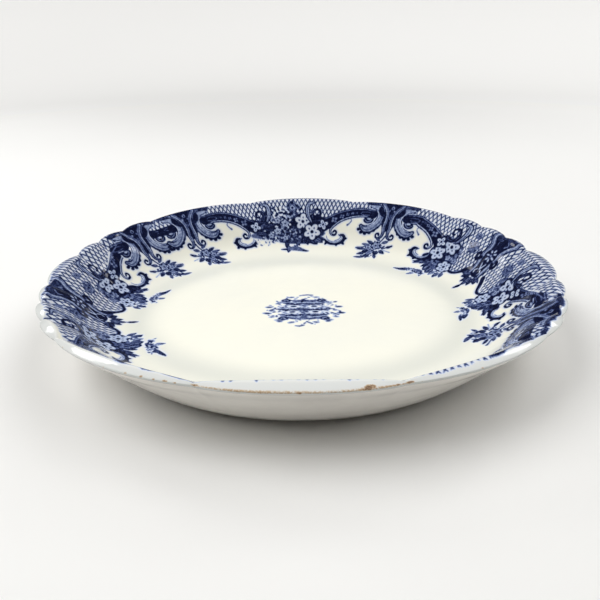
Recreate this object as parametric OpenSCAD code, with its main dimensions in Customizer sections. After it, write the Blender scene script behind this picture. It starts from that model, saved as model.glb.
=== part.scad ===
// Oval china serving platter with a lobed lip. The press-moulded body stands on an oval
// foot ring. Two blue prints lie on the body, and a clear glaze covers body and prints.
// Origin: middle of the foot, on the table. X runs along the length and Z points up.

/* [Outline] */
// Half of the length of the base oval that the lip's notches lie on
half_length = 177; // [165:1:195]
// Half of the width of the base oval
half_width = 148.5; // [140:0.5:160]
// How square the base oval is: 2 is a true ellipse
squareness = 2.18; // [2:0.02:2.3]
// How far the lobes in the middle of the ends and sides stand out past the base oval
middle_bulge = 4.5; // [2:0.25:5]
// How far the other lobes stand out past the base oval
lobe_bulge = 2.25; // [0.5:0.25:3]

/* [Lip] */
// Height of the lip's edge above the table, at the middle of the long sides
lip_height = 47; // [43:1:50]
// How much lower the lip's edge is at the two ends
end_droop = 4; // [0:0.5:5]
// How much lower the lip's edge is at a notch than in the middle of a lobe
notch_dip = 1.9; // [0:0.1:2.5]
// Height of the lip's crest above its edge in the middle of a lobe
crest_height = 1.2; // [1:0.1:2]
// Distance of the crest inside the base oval in the middle of a lobe
crest_inset = 3.8; // [3:0.1:5]

/* [Well and foot] */
// Thickness of the well floor, glaze included
floor_thickness = 4.2; // [3.8:0.1:5.5]
// Half of the length of the flat well floor
well_half_length = 112; // [105:1:118]
// Half of the width of the flat well floor
well_half_width = 80; // [73:1:85]
// Height of the foot ring
foot_height = 1.6; // [1.4:0.1:2.5]
// Half of the foot ring's length
foot_half_length = 134.5; // [130:0.5:140]
// Half of the foot ring's width
foot_half_width = 119.5; // [112:0.5:122]
// Width of the foot ring's flat underside
foot_width = 4.5; // [3:0.5:6]

/* [Layers] */
// Thickness of the clear glaze
glaze = 0.4; // [0.3:0.05:0.5]
// Thickness of the printed blue layer under the glaze
print_layer = 0.1; // [0.05:0.05:0.15]
// Half of the centre print's length
medallion_half_length = 31; // [24:1:36]
// Half of the centre print's width
medallion_half_width = 27; // [20:1:30]

/* [Fineness] */
// Flat facets along each small lobe
small_steps = 4; // [3:1:4]
// Flat facets along each long lobe
long_steps = 7; // [5:1:8]

/* [Hidden] */

// Oval angles of the notches in one quarter, from the end round to the side. A middle lobe
// spans the first notch and its mirror image, and another the last notch and its mirror image.
quarter_notches = [8.5, 18.5, 29, 40, 75];
last_notch = len(quarter_notches) - 1;
notches = concat(quarter_notches,
                 [for (i = [last_notch:-1:0]) 180 - quarter_notches[i]],
                 [for (n = quarter_notches) 180 + n],
                 [for (i = [last_notch:-1:0]) 360 - quarter_notches[i]],
                 [360 + quarter_notches[0]]);
long_span = 15;
lobe_roundness = 0.6;
// The lower walls keep this share of a lobe's height all round
lobe_mean = 0.7;
// At a notch the crest keeps this share of its inset, and this share of its height
notch_inset = 0.3;
notch_height = 0.5;
// The outermost ring of the centre print lies at this share of its size
medallion_core = 0.93;

floor_height = foot_height + floor_thickness;

// Lip from edge to crest: share of the way in, share of the crest's height
lip_rise = [[0, 0], [0.25, 0.45], [0.6, 0.85], [1, 1]];
// Inner wall: share of the way from crest to well, share of the depth, and how far the wall
// follows the lobes
inner_wall = [[0.04, 0.06, 0.95], [0.1, 0.155, 0.8], [0.19, 0.3, 0.55],
              [0.27, 0.475, 0.35], [0.355, 0.66, 0.2], [0.455, 0.81, 0.1],
              [0.59, 0.922, 0.03], [0.775, 0.985, 0], [1, 1, 0]];
// Outer wall from the lip's edge: share of the way to the foot, share of the drop, share of
// the lobe's bulge. The fold at the third point is the crease under the rolled lip.
outer_wall = [[0, 0, 1], [0.016, 0.032, 1], [0.08, 0.064, 1], [0.09, 0.113, 0.95],
              [0.24, 0.3, 0.85], [0.42, 0.515, 0.65], [0.6, 0.712, 0.45],
              [0.78, 0.882, 0.25], [0.9, 0.965, 0.1], [1, 1, 0]];
lip_rows = len(lip_rise);
face_rows = lip_rows + len(inner_wall);
back_rows = len(outer_wall);
// First and last face rows that the border print covers
print_first = lip_rows - 1;
print_last = face_rows - 2;

function mix(a, b, share) = a + (b - a) * share;
function signed_power(v, power) = sign(v) * pow(abs(v), power);
function ellipse_point(half, angle) = [half[0] * cos(angle), half[1] * sin(angle)];
well_sizes = [well_half_length, well_half_width];
foot_sizes = [foot_half_length, foot_half_width];

// The base oval, and the direction square to it, at an oval angle
function base_point(angle) =
  [half_length * signed_power(cos(angle), 2 / squareness),
   half_width * signed_power(sin(angle), 2 / squareness)];
function outward(angle) =
  let (across = [signed_power(cos(angle), 2 - 2 / squareness) / half_length,
                 signed_power(sin(angle), 2 - 2 / squareness) / half_width])
  across / norm(across);

// The lip at an oval angle, where lobe is the lobe's height from 0 at a notch to 1
function edge_height(angle, lobe) =
  lip_height - end_droop * pow(base_point(angle)[0] / half_length, 2) - notch_dip * (1 - lobe);
function crest_distance(lobe) = crest_inset * mix(notch_inset, 1, lobe);
function crest_top(angle, lobe) =
  edge_height(angle, lobe) + crest_height * mix(notch_height, 1, lobe);

// Every column of points: oval angle, lobe height, and bulge
function span(i) = notches[i + 1] - notches[i];
function is_middle(i) = abs(sin(notches[i + 1] + notches[i])) < 0.1;
function arch(share) = pow(sin(180 * share), lobe_roundness);
columns = [for (i = [0:len(notches) - 2])
             let (steps = span(i) < long_span ? small_steps : long_steps,
                  bulge = is_middle(i) ? middle_bulge : lobe_bulge)
             for (s = [0:steps - 1])
               [mix(notches[i], notches[i + 1], s / steps), arch(s / steps),
                bulge * arch(s / steps)]];
count = len(columns);

// Section through the finished skin at one column: share of the way from the base oval to
// the well or the foot, further distance inward, and height
function lip_point(column, place) =
  [0, mix(-column[2], crest_distance(column[1]), place[0]),
   mix(edge_height(column[0], column[1]), crest_top(column[0], column[1]), place[1])];
function wall_point(column, place) =
  let (lobe = mix(lobe_mean, column[1], place[2]))
  [place[0], crest_distance(lobe) * (1 - place[0]),
   mix(crest_top(column[0], lobe), floor_height, place[1])];
function face_point(column, row) =
  row < lip_rows ? lip_point(column, lip_rise[row])
                 : wall_point(column, inner_wall[row - lip_rows]);
function back_point(column, row) =
  let (place = outer_wall[row], lobe = mix(lobe_mean, column[1], place[2]))
  [place[0], -column[2] * place[2],
   mix(edge_height(column[0], lobe), foot_height - glaze, place[1])];

// Slope of the section, as [distance inward, height], between two of its points
function slope(column, sizes, a, b) =
  let (reach = norm(base_point(column[0]) - ellipse_point(sizes, column[0])))
  let (run = [(b[0] - a[0]) * reach + b[1] - a[1], b[2] - a[2]])
  run / norm(run);

// A section point in space, moved by a distance inward and up
function placed(column, sizes, p, shift) =
  let (flat = mix(base_point(column[0]), ellipse_point(sizes, column[0]), p[0]))
  let (at = flat - (p[1] + shift[0]) * outward(column[0]))
  [at[0], at[1], p[2] + shift[1]];

// Rings of the face and of the back at a depth below the finished skin
function face_shift(column, row, depth) =
  row == 0 ? [depth, 0]
  : row == face_rows - 1 ? [0, -depth]
  : let (run = slope(column, well_sizes, face_point(column, row - 1),
                     face_point(column, row + 1)))
    depth * [run[1], -run[0]];
function back_shift(column, row, depth) =
  row == 0 ? [depth, 0]
  : row == back_rows - 1 ? [0, depth]
  : let (run = slope(column, foot_sizes, back_point(column, row - 1),
                     back_point(column, row + 1)))
    depth * [-run[1], run[0]];
function face_ring(row, depth) =
  [for (c = columns) placed(c, well_sizes, face_point(c, row), face_shift(c, row, depth))];
function back_ring(row, depth) =
  [for (c = columns) placed(c, foot_sizes, back_point(c, row), back_shift(c, row, depth))];
function floor_ring(scale, depth) =
  [for (c = columns) [medallion_half_length * scale * cos(c[0]),
                      medallion_half_width * scale * sin(c[0]),
                      floor_height - depth]];
function floor_middle(depth) = [0, 0, floor_height - depth];

// Triangles between two neighbouring rings. The far side of a layer is split along the
// other diagonal, so that layers meet face to face.
function strip(a, b, far) =
  [for (j = [0:count - 1]) let (k = (j + 1) % count)
     each far ? [[a + j, a + k, b + j], [a + k, b + k, b + j]]
              : [[a + j, a + k, b + k], [a + j, b + k, b + j]]];

// Closed solid of rings between a top point and a bottom point
module capped(top, rings, bottom, far_from) {
  total = len(rings);
  end = 1 + total * count;
  points = concat([top], [for (r = rings) each r], [bottom]);
  faces = concat(
    [for (j = [0:count - 1]) [0, 1 + (j + 1) % count, 1 + j]],
    [for (r = [0:total - 2]) each strip(1 + r * count, 1 + (r + 1) * count, r >= far_from)],
    [for (j = [0:count - 1]) [end, end - count + j, end - count + (j + 1) % count]]);
  polyhedron(points = points, faces = faces);
}

// Closed solid of rings that run round a hollow section
module looped(rings, far_from) {
  total = len(rings);
  faces = [for (r = [0:total - 1])
             each strip(r * count, ((r + 1) % total) * count, r >= far_from)];
  polyhedron(points = [for (r = rings) each r], faces = faces);
}

// Depth of the glaze's underside: the prints take up their own thickness beneath it
function under_glaze(row) =
  row > print_first && row < print_last ? glaze - print_layer : glaze;

module dish_body() {
  color("ivory")
    capped(floor_middle(glaze),
           concat([floor_ring(medallion_core, glaze), floor_ring(1, glaze)],
                  [for (row = [face_rows - 1:-1:0]) face_ring(row, glaze)],
                  [for (row = [1:back_rows - 1]) back_ring(row, glaze)]),
           [0, 0, foot_height], face_rows + back_rows + 2);
}

module foot_plan(inset) {
  polygon([for (c = columns) ellipse_point(foot_sizes - [inset, inset], c[0])]);
}

module foot_ring() {
  color("tan")
    linear_extrude(foot_height)
      difference() {
        foot_plan(0);
        foot_plan(foot_width);
      }
}

module border_print() {
  color("royalblue")
    looped(concat([for (row = [print_last:-1:print_first]) face_ring(row, under_glaze(row))],
                  [for (row = [print_first + 1:print_last - 1]) face_ring(row, glaze)]),
           print_last - print_first);
}

module centre_print() {
  color("royalblue")
    capped(floor_middle(glaze - print_layer),
           [floor_ring(medallion_core, glaze - print_layer), floor_ring(1, glaze),
            floor_ring(medallion_core, glaze)],
           floor_middle(glaze), 1);
}

module face_glaze() {
  color("aliceblue")
    capped(floor_middle(0),
           concat([floor_ring(medallion_core, 0), floor_ring(1, 0)],
                  [for (row = [face_rows - 1:-1:0]) face_ring(row, 0)],
                  [for (row = [0:face_rows - 1]) face_ring(row, under_glaze(row))],
                  [floor_ring(1, glaze), floor_ring(medallion_core, glaze - print_layer)]),
           floor_middle(glaze - print_layer), face_rows + 2);
}

module back_glaze() {
  color("whitesmoke")
    looped(concat([for (row = [0:back_rows - 1]) back_ring(row, 0)],
                  [for (row = [back_rows - 1:-1:0]) back_ring(row, glaze)]),
           back_rows);
}

module base_glaze() {
  color("whitesmoke")
    translate([0, 0, foot_height - glaze])
      linear_extrude(glaze)
        foot_plan(foot_width);
}

dish_body();
foot_ring();
border_print();
centre_print();
face_glaze();
back_glaze();
base_glaze();
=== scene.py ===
"""Oval china serving platter: fine glazed surfaces with a blue underglaze print, on the CAD frame.

Lengths are in millimetres up to build(), which turns them into metres. The print is drawn flat,
along the rim and down the wall, and each point of the mesh carries its ink.
"""
import math

import bpy
import numpy as np
from mathutils import Matrix, Vector


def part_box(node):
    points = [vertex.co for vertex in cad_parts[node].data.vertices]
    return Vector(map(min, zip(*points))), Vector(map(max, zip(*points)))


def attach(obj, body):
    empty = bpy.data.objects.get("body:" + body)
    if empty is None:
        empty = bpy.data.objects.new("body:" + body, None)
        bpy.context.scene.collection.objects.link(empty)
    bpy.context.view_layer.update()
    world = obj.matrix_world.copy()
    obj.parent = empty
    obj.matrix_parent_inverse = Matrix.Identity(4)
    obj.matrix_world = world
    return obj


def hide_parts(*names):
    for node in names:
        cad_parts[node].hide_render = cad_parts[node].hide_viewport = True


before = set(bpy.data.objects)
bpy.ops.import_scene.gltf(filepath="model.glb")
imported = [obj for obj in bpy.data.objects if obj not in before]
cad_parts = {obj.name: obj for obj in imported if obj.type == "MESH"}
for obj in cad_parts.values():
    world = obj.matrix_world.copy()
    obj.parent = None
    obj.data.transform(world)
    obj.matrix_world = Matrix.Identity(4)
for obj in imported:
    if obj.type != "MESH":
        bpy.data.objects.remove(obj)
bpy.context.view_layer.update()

METRE = 1000.0

# ---------------------------------------------------------------- sizes

def cad_size(node):
    """Half length, half width and top height of a CAD node, in millimetres."""
    low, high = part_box(node)
    return [METRE * (high.x - low.x) / 2, METRE * (high.y - low.y) / 2, METRE * high.z]


FOOT = tuple(cad_size("foot_ring")[:2])
BASE_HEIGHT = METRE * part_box("base_glaze")[0].z
PRINT_TOP = cad_size("centre_print")[2]
FACE_TOP = cad_size("face_glaze")[2]

HALF_LENGTH, HALF_WIDTH = 177.0, 148.5
SQUARENESS = 2.18
CREST_HEIGHT, CREST_INSET = 1.2, 3.8
LIP_HEIGHT, END_DROOP = FACE_TOP - CREST_HEIGHT, 4.0
NOTCH_INSET, NOTCH_HEIGHT = 0.3, 0.5  # shares of the crest's inset and height left at a notch
NOTCH_DIP, LOBE_POWER = 1.9, 0.6  # how far the edge dips at a notch, and how round a lobe is
LOBE_MEAN = 0.7  # a lobe's mean height, which the plain lower wall keeps
GLAZE_ABOVE_PRINT = 0.3
FLOOR_HEIGHT = PRINT_TOP + GLAZE_ABOVE_PRINT
WELL = (112.0, 80.0)
FOOT_RING_WIDTH = 4.5
SHELL = 1.0  # thickness of the glazed shells

# Oval angles of the lobes' notches in one quarter, and each lobe's bulge past the base oval
QUARTER_NOTCHES = [-8.5, 8.5, 18.5, 29, 40, 75, 105]
BULGES = [4.5, 2.25, 2.25, 2.25, 2.25, 4.5]

# Lip from edge to crest: share of the way in, share of the crest's height
LIP_RISE = [(0, 0), (0.25, 0.45), (0.6, 0.85), (1, 1)]
# Inner wall: share of the way from crest to well, share of the depth, how far it follows the lobes
INNER_WALL = [(0.04, 0.06, 0.95), (0.1, 0.155, 0.8), (0.19, 0.3, 0.55), (0.27, 0.475, 0.35),
              (0.355, 0.66, 0.2), (0.455, 0.81, 0.1), (0.59, 0.922, 0.03), (0.775, 0.985, 0),
              (1, 1, 0)]
# Underside of the lip from its edge to the crease, then the outer wall from the crease to the foot
LIP_UNDER = [(0.016, 0.032, 1), (0.08, 0.064, 1)]
OUTER_WALL = [(0.08, 0.064, 1), (0.09, 0.113, 0.7), (0.24, 0.3, 0.25), (0.42, 0.515, 0.05),
              (0.6, 0.712, 0), (0.78, 0.882, 0), (0.9, 0.965, 0), (1, 1, 0)]
FLOOR_SHARES = [0.82, 0.6, 0.4, 0.2, 0.0]  # rings of the flat floor, as shares of the well

# Fineness of the mesh
COLUMNS = 2048
ROW_STEP = 0.5
BACK_COLUMNS = 1024


def mix(a, b, share):
    return a + (b - a) * share


def smooth_step(value):
    value = np.clip(value, 0, 1)
    return value * value * (3 - 2 * value)


# ---------------------------------------------------------------- the platter's form

def signed_power(value, power):
    return np.sign(value) * np.abs(value) ** power


def base_oval(angle):
    return np.stack([HALF_LENGTH * signed_power(np.cos(angle), 2 / SQUARENESS),
                     HALF_WIDTH * signed_power(np.sin(angle), 2 / SQUARENESS)], -1)


def outward(angle):
    across = np.stack([signed_power(np.cos(angle), 2 - 2 / SQUARENESS) / HALF_LENGTH,
                       signed_power(np.sin(angle), 2 - 2 / SQUARENESS) / HALF_WIDTH], -1)
    return across / np.linalg.norm(across, axis=-1, keepdims=True)


def ellipse(sizes, angle):
    return np.stack([sizes[0] * np.cos(angle), sizes[1] * np.sin(angle)], -1)


# Oval angles from the middle of the rear side clockwise, and how far round the rim each lies
ROUND_ANGLES = np.radians(90 - np.linspace(0, 360, 14401))
ROUND_STEPS = np.linalg.norm(np.diff(base_oval(ROUND_ANGLES), axis=0), axis=1)
ROUND_LENGTHS = np.concatenate([[0], np.cumsum(ROUND_STEPS)])
PERIMETER = ROUND_LENGTHS[-1]


def angle_at(along):
    """Oval angle at a distance round the rim from the middle of the rear side."""
    return np.interp(np.mod(along, PERIMETER), ROUND_LENGTHS, ROUND_ANGLES)


def lobe_at(angle):
    """Height of the lobe from 0 at a notch to 1, and how far it bulges."""
    turn = np.mod(np.degrees(angle), 180)
    quarter = np.minimum(turn, 180 - turn)
    notches = np.array(QUARTER_NOTCHES, float)
    i = np.clip(np.searchsorted(notches, quarter, side="right") - 1, 0, len(BULGES) - 1)
    share = np.clip((quarter - notches[i]) / (notches[i + 1] - notches[i]), 0, 1)
    arch = np.sin(np.pi * share) ** LOBE_POWER
    return arch, np.array(BULGES)[i] * arch


def edge_height(angle, arch):
    return (LIP_HEIGHT - END_DROOP * (base_oval(angle)[:, 0] / HALF_LENGTH) ** 2
            - NOTCH_DIP * (1 - arch))


def crest_line(angle, arch):
    """Distance of the crest inside the base oval, and its height."""
    return (CREST_INSET * mix(NOTCH_INSET, 1, arch),
            edge_height(angle, arch) + CREST_HEIGHT * mix(NOTCH_HEIGHT, 1, arch))


def inner_rows(angle):
    """Points of the inner wall, from below the crest to the well."""
    arch = lobe_at(angle)[0]
    base, out = base_oval(angle), outward(angle)
    made = []
    for way, drop, follow in INNER_WALL:
        inset, height = crest_line(angle, mix(LOBE_MEAN, arch, follow))
        flat = mix(base - inset[:, None] * out, ellipse(WELL, angle), way)
        made.append(np.column_stack([flat, mix(height, FLOOR_HEIGHT, drop)]))
    return made


def outer_rows(angle, rows):
    """Points of outer rows: share of the way to the foot, of the drop, of the lobe's bulge."""
    arch, bulge = lobe_at(angle)
    base, out = base_oval(angle), outward(angle)
    made = []
    for way, drop, follow in rows:
        flat = mix(base, ellipse(FOOT, angle), way) + (bulge * follow)[:, None] * out
        height = edge_height(angle, mix(LOBE_MEAN, arch, follow))
        made.append(np.column_stack([flat, mix(height, BASE_HEIGHT, drop)]))
    return made


def lip_rows(angle):
    """Points of the lip from its edge to its crest."""
    arch, bulge = lobe_at(angle)
    base, out = base_oval(angle), outward(angle)
    inset, top = crest_line(angle, arch)
    edge = edge_height(angle, arch)
    made = []
    for way, rise in LIP_RISE:
        inward = mix(-bulge, inset, way)
        made.append(np.column_stack([base - inward[:, None] * out, mix(edge, top, rise)]))
    return made


def face_section(along):
    """Section points of the face, from the crease under the lip over the lip to the middle."""
    angle = angle_at(along)
    floor = [np.column_stack([share * ellipse(WELL, angle), np.full(len(angle), FLOOR_HEIGHT)])
             for share in FLOOR_SHARES]
    return np.stack(outer_rows(angle, LIP_UNDER[::-1]) + lip_rows(angle) + inner_rows(angle) + floor)


def back_section(along):
    """Section points of the back, from the crease under the lip to the foot."""
    return np.stack(outer_rows(angle_at(along), OUTER_WALL))


def smooth(knots, points, at):
    """Smooth curve through points, rows first, at the given places between the knots."""
    knots, at = np.asarray(knots, float), np.atleast_1d(at)
    tail = [1] * (points.ndim - 1)
    step = np.diff(knots)
    secant = np.diff(points, axis=0) / step.reshape(-1, *tail)
    share = (step[:-1] / (step[:-1] + step[1:])).reshape(-1, *tail)
    slope = np.concatenate([secant[:1], mix(secant[:-1], secant[1:], share), secant[-1:]])
    i = np.clip(np.searchsorted(knots, at, side="right") - 1, 0, len(knots) - 2)
    width = step[i].reshape(-1, *tail)
    u = ((at - knots[i]) / step[i]).reshape(-1, *tail)
    return (points[i] * (1 + 2 * u) * (1 - u) ** 2 + points[i + 1] * u * u * (3 - 2 * u)
            + slope[i] * width * u * (1 - u) ** 2 - slope[i + 1] * width * u * u * (1 - u))


def surface_knots(section):
    """Mean surface distance of each section row from the first."""
    step = np.linalg.norm(np.diff(section, axis=0), axis=-1).mean(1)
    return np.concatenate([[0], np.cumsum(step)])


COARSE = np.arange(0, PERIMETER, 7.0)
CREST_ROW = len(LIP_UNDER) + len(LIP_RISE) - 1
WELL_ROW = CREST_ROW + len(INNER_WALL)
FACE_KNOTS = surface_knots(face_section(COARSE))
FACE_KNOTS = FACE_KNOTS - FACE_KNOTS[CREST_ROW]  # the crest is at 0, inward is positive
BACK_KNOTS = surface_knots(back_section(COARSE))


def columns(count):
    return np.arange(count) * PERIMETER / count


def face_rings(down, count):
    return smooth(FACE_KNOTS, face_section(columns(count)), down)


def back_rings(down, count):
    return smooth(BACK_KNOTS, back_section(columns(count)), down)


def sunk(rings, depth):
    """Rings moved into the body, square to the surface, by a depth for each ring."""
    across = np.roll(rings, -1, axis=1) - np.roll(rings, 1, axis=1)
    along = np.gradient(rings, axis=0)
    normal = np.cross(along, across)
    normal /= np.linalg.norm(normal, axis=-1, keepdims=True) + 1e-9
    return rings - normal * np.reshape(depth, (-1, 1, 1))


# ---------------------------------------------------------------- meshes

def stitch(a, b, n, m):
    """Faces between ring a of n points and ring b of m points, as first index and count."""
    i = np.arange(max(n, m))
    j = (i + 1) % len(i)
    if n == 1:
        return np.column_stack([np.full(m, a), b + i, b + j])
    if m == 1:
        return np.column_stack([a + i, np.full(n, b), a + j])
    if n == m:
        return np.column_stack([a + i, b + i, b + j, a + j])
    k = np.arange(min(n, m))
    after, middle, last = (k + 1) % len(k), 2 * k + 1, (2 * k + 2) % max(n, m)
    if n > m:
        return np.concatenate([np.column_stack([a + 2 * k, b + k, a + middle]),
                               np.column_stack([a + middle, b + k, b + after]),
                               np.column_stack([a + middle, b + after, a + last])])
    return np.concatenate([np.column_stack([a + k, b + 2 * k, b + middle]),
                           np.column_stack([a + k, b + middle, a + after]),
                           np.column_stack([a + after, b + middle, b + last])])


def build(name, rings, loop=False, **values):
    """A smooth closed mesh of rings, each with as many points as the last, half or double.
    values are numbers for each point, kept as attributes."""
    sizes = [len(ring) for ring in rings]
    starts = np.concatenate([[0], np.cumsum(sizes)])
    pairs = list(zip(range(len(rings) - 1), range(1, len(rings))))
    if loop:
        pairs.append((len(rings) - 1, 0))
    faces = [stitch(starts[p], starts[q], sizes[p], sizes[q]) for p, q in pairs]
    corners = np.concatenate([f.ravel() for f in faces])
    counts = np.concatenate([np.full(len(f), f.shape[1]) for f in faces])
    points = np.concatenate(rings) / METRE
    mesh = bpy.data.meshes.new(name)
    mesh.vertices.add(len(points))
    mesh.vertices.foreach_set("co", points.astype(np.float32).ravel())
    mesh.loops.add(len(corners))
    mesh.loops.foreach_set("vertex_index", corners.astype(np.int32))
    mesh.polygons.add(len(counts))
    firsts = np.concatenate([[0], np.cumsum(counts)[:-1]])
    mesh.polygons.foreach_set("loop_start", firsts.astype(np.int32))
    mesh.update(calc_edges=True)
    mesh.shade_smooth()
    for key, value in values.items():
        layer = mesh.attributes.new(key, "FLOAT", "POINT")
        layer.data.foreach_set("value", value.astype(np.float32))
    piece = bpy.data.objects.new(name, mesh)
    bpy.context.scene.collection.objects.link(piece)
    return piece


# ---------------------------------------------------------------- rings of the pieces

INNER_COLUMNS = 512
PRINT_FIRST, PRINT_LAST = -9.0, 80.0  # rows that may carry the border print
NARROWING = 60.0  # from here down the wall, half the columns do
FLOOR_PITCH = 2.5
SHADE_MIDDLE, SHADE_SPREAD = 70.0, 13.0  # where the painted shade lies: a grey band at the foot of the inner wall, where it turns into the floor
LIP_SHADE = 1.3  # the same painted shade over the lip
MEDALLION_ROWS = 0.4  # share of the well inside which rows are fine again
MEDALLION_SHIFT = 3.0  # how far the medallion sits towards the front of the middle


def share_down(share):
    """Distance from the crest of the floor ring that is this share of the well."""
    shares = [1.0] + FLOOR_SHARES
    return float(np.interp(-share, [-s for s in shares], FACE_KNOTS[WELL_ROW:]))


def top_levels():
    """Distances from the crest and columns of the face's rows, from the crease to the middle."""
    crease, well = FACE_KNOTS[0], FACE_KNOTS[WELL_ROW]
    fine = share_down(MEDALLION_ROWS)
    levels = [(np.arange(crease, NARROWING, ROW_STEP), COLUMNS),
              (np.arange(NARROWING, well, 1.2 * ROW_STEP), COLUMNS // 2),
              (np.arange(well, fine, FLOOR_PITCH), COLUMNS // 4)]
    count, start = COLUMNS // 4, fine
    for share in (0.22, 0.11, 0.055, 0.03):
        stop = share_down(share)
        levels.append((np.arange(start, stop, ROW_STEP), count))
        count, start = count // 2, stop
    levels.append((np.array([start]), count))
    return levels


def sunk_ring(rings_at, down, count, depth, limits):
    """One ring moved into the body by a depth."""
    near = np.clip([down - 0.4, down, down + 0.4], *limits)
    if near[0] == near[1]:
        near[1] += 0.01
    if near[2] == near[1]:
        near[1] -= 0.01
    return sunk(rings_at(near, count), depth)[1]


def inner_face():
    """Rings a shell's thickness under the face, from the crease to the middle."""
    limits = (FACE_KNOTS[0], FACE_KNOTS[-2])
    places = np.concatenate([np.arange(FACE_KNOTS[0], 16, 1.6),
                             np.arange(16, FACE_KNOTS[WELL_ROW], 4)])
    rings = [sunk_ring(face_rings, d, INNER_COLUMNS, SHELL, limits) for d in places]
    return rings + flat_rings(WELL, FLOOR_HEIGHT - SHELL, INNER_COLUMNS)


def flat_rings(sizes, height, count):
    """Rings of a level oval floor, thinning out towards its middle point."""
    rings, share = [], 1.0
    while count > 16:
        angle = angle_at(columns(count))
        rings.append(np.column_stack([share * ellipse(sizes, angle), np.full(count, height)]))
        count, share = count // 2, share * 0.62
    rings.append(np.array([[0.0, 0.0, height]]))
    return rings


def inner_back():
    """Rings a shell's thickness inside the back, from the crease to the middle."""
    limits = (BACK_KNOTS[0], BACK_KNOTS[-1])
    places = np.concatenate([np.arange(BACK_KNOTS[0], 8, 1.2), np.arange(8, BACK_KNOTS[-1] - 2, 4)])
    rings = [sunk_ring(back_rings, d, INNER_COLUMNS, -SHELL, limits) for d in places]
    return rings + flat_rings((FOOT[0] - SHELL, FOOT[1] - SHELL), BASE_HEIGHT + SHELL, INNER_COLUMNS)


def painted_shade_amount(down):
    """Strength of the painted shade, drawn as a greyer glaze, over the lip and at the foot of the inner wall.
    """
    over_lip = float(smooth_step((1 - down) / 3))
    return math.exp(-((down - SHADE_MIDDLE) / SHADE_SPREAD) ** 2) + LIP_SHADE * over_lip


def face_piece(border, medallion, wear):
    """The glazed face with its print: a closed shell from the crease under the lip inward."""
    under = inner_face()[::-1]
    crease = FACE_KNOTS[0]
    limits = (crease, FACE_KNOTS[-2])
    seam = [sunk_ring(face_rings, crease, COLUMNS // 2, SHELL / 2, limits)]
    rings, downs, strides = under + seam, [None] * (len(under) + 1), [0] * (len(under) + 1)
    for places, count in top_levels():
        rings += list(face_rings(places, count))
        downs += list(places)
        strides += [COLUMNS // count] * len(places)
    rings.append(np.array([[0.0, 0.0, FLOOR_HEIGHT]]))
    downs.append(None)
    strides.append(0)
    ink, flow, worn, pooled = [], [], [], []
    for ring, down, stride in zip(rings, downs, strides):
        printed = down is not None and PRINT_FIRST <= down <= PRINT_LAST
        central = down is not None and down > FACE_KNOTS[WELL_ROW] + 20
        for kept, field in ((ink, "ink"), (flow, "flow")):
            if printed:
                kept.append(border.row(field, down)[::stride])
            elif central or (down is None and len(ring) == 1 and ring[0, 2] == FLOOR_HEIGHT):
                kept.append(medallion.sample(field, ring[:, 0], ring[:, 1] + MEDALLION_SHIFT))
            else:
                kept.append(np.zeros(len(ring)))
        worn.append(wear.row("ink", down)[::stride] if printed else np.zeros(len(ring)))
        # painted shade: how much greyer the glaze is drawn, over the lip and at the foot of the inner wall
        pooled.append(np.full(len(ring), 0.0 if down is None else painted_shade_amount(down)))
    return build("glazed_face", rings, ink=np.concatenate(ink), flow=np.concatenate(flow),
                 wear=np.concatenate(worn), pool=np.concatenate(pooled))


def back_piece():
    """The glazed back: a closed shell from the crease under the lip to the base inside the foot."""
    base = flat_rings(FOOT, BASE_HEIGHT, BACK_COLUMNS)[::-1]
    wall = list(back_rings(np.arange(BACK_KNOTS[-1], BACK_KNOTS[0], -1.0), BACK_COLUMNS))
    crease = list(back_rings([BACK_KNOTS[0]], BACK_COLUMNS))
    return build("glazed_back", base[:-1] + wall + crease + inner_back())


def biscuit_piece():
    """The fired clay between the glazed shells."""
    return build("earthenware_body", inner_back()[::-1] + inner_face())


FOOT_ROUNDING = 0.7


def foot_piece():
    """The unglazed foot ring, its edges rounded and rubbed."""
    angle = angle_at(columns(BACK_COLUMNS))
    corner = np.radians(np.arange(0, 91, 22.5))
    profile = [(0.0, FOOT_ROUNDING), (0.0, BASE_HEIGHT + 0.3), (FOOT_RING_WIDTH, BASE_HEIGHT + 0.3)]
    profile += [(FOOT_RING_WIDTH - FOOT_ROUNDING * (1 - math.cos(a)), FOOT_ROUNDING * (1 - math.sin(a)))
                for a in corner]
    profile += [(FOOT_ROUNDING * (1 - math.sin(a)), FOOT_ROUNDING * (1 - math.cos(a))) for a in corner[:-1]]
    rings = [np.column_stack([ellipse((FOOT[0] - inset, FOOT[1] - inset), angle),
                              np.full(BACK_COLUMNS, height)]) for inset, height in profile]
    return build("foot_ring_unglazed", rings, loop=True)


# ---------------------------------------------------------------- drawing the print

DARK, DEEP, MID, WASH, PALE, WHITE = 1.0, 0.82, 0.6, 0.4, 0.2, 0.0
SOFT = 0.38  # half the width of a printed edge's blur
RANDOM = np.random.default_rng(11)

# How the transfer was laid, at places round the rim: its lean along the rim for each millimetre
# down the wall, and how much it is stretched down the wall
LAID_AT = [0, 93, 150, 217, 270, 338, 420, 520, 632, 700, 750, 800, 866, 921]
LAID_LEAN = [0, 0, 0, -0.14, -0.38, -0.6, -0.3, 0, 0, 0, 0, 0.03, 0.08, 0.02]
LAID_STRETCH = [1.0, 0.98, 1.0, 1.03, 1.1, 1.12, 0.85, 0.85, 0.85, 1.16, 1.16, 1.17, 1.05, 1.02]
LEAN_DEPTH = 36.0  # the lean goes no further below this


def lay(along):
    """Lean and stretch of the transfer at a place round the rim."""
    return (np.interp(along, LAID_AT, LAID_LEAN, period=PERIMETER),
            np.interp(along, LAID_AT, LAID_STRETCH, period=PERIMETER))


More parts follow.
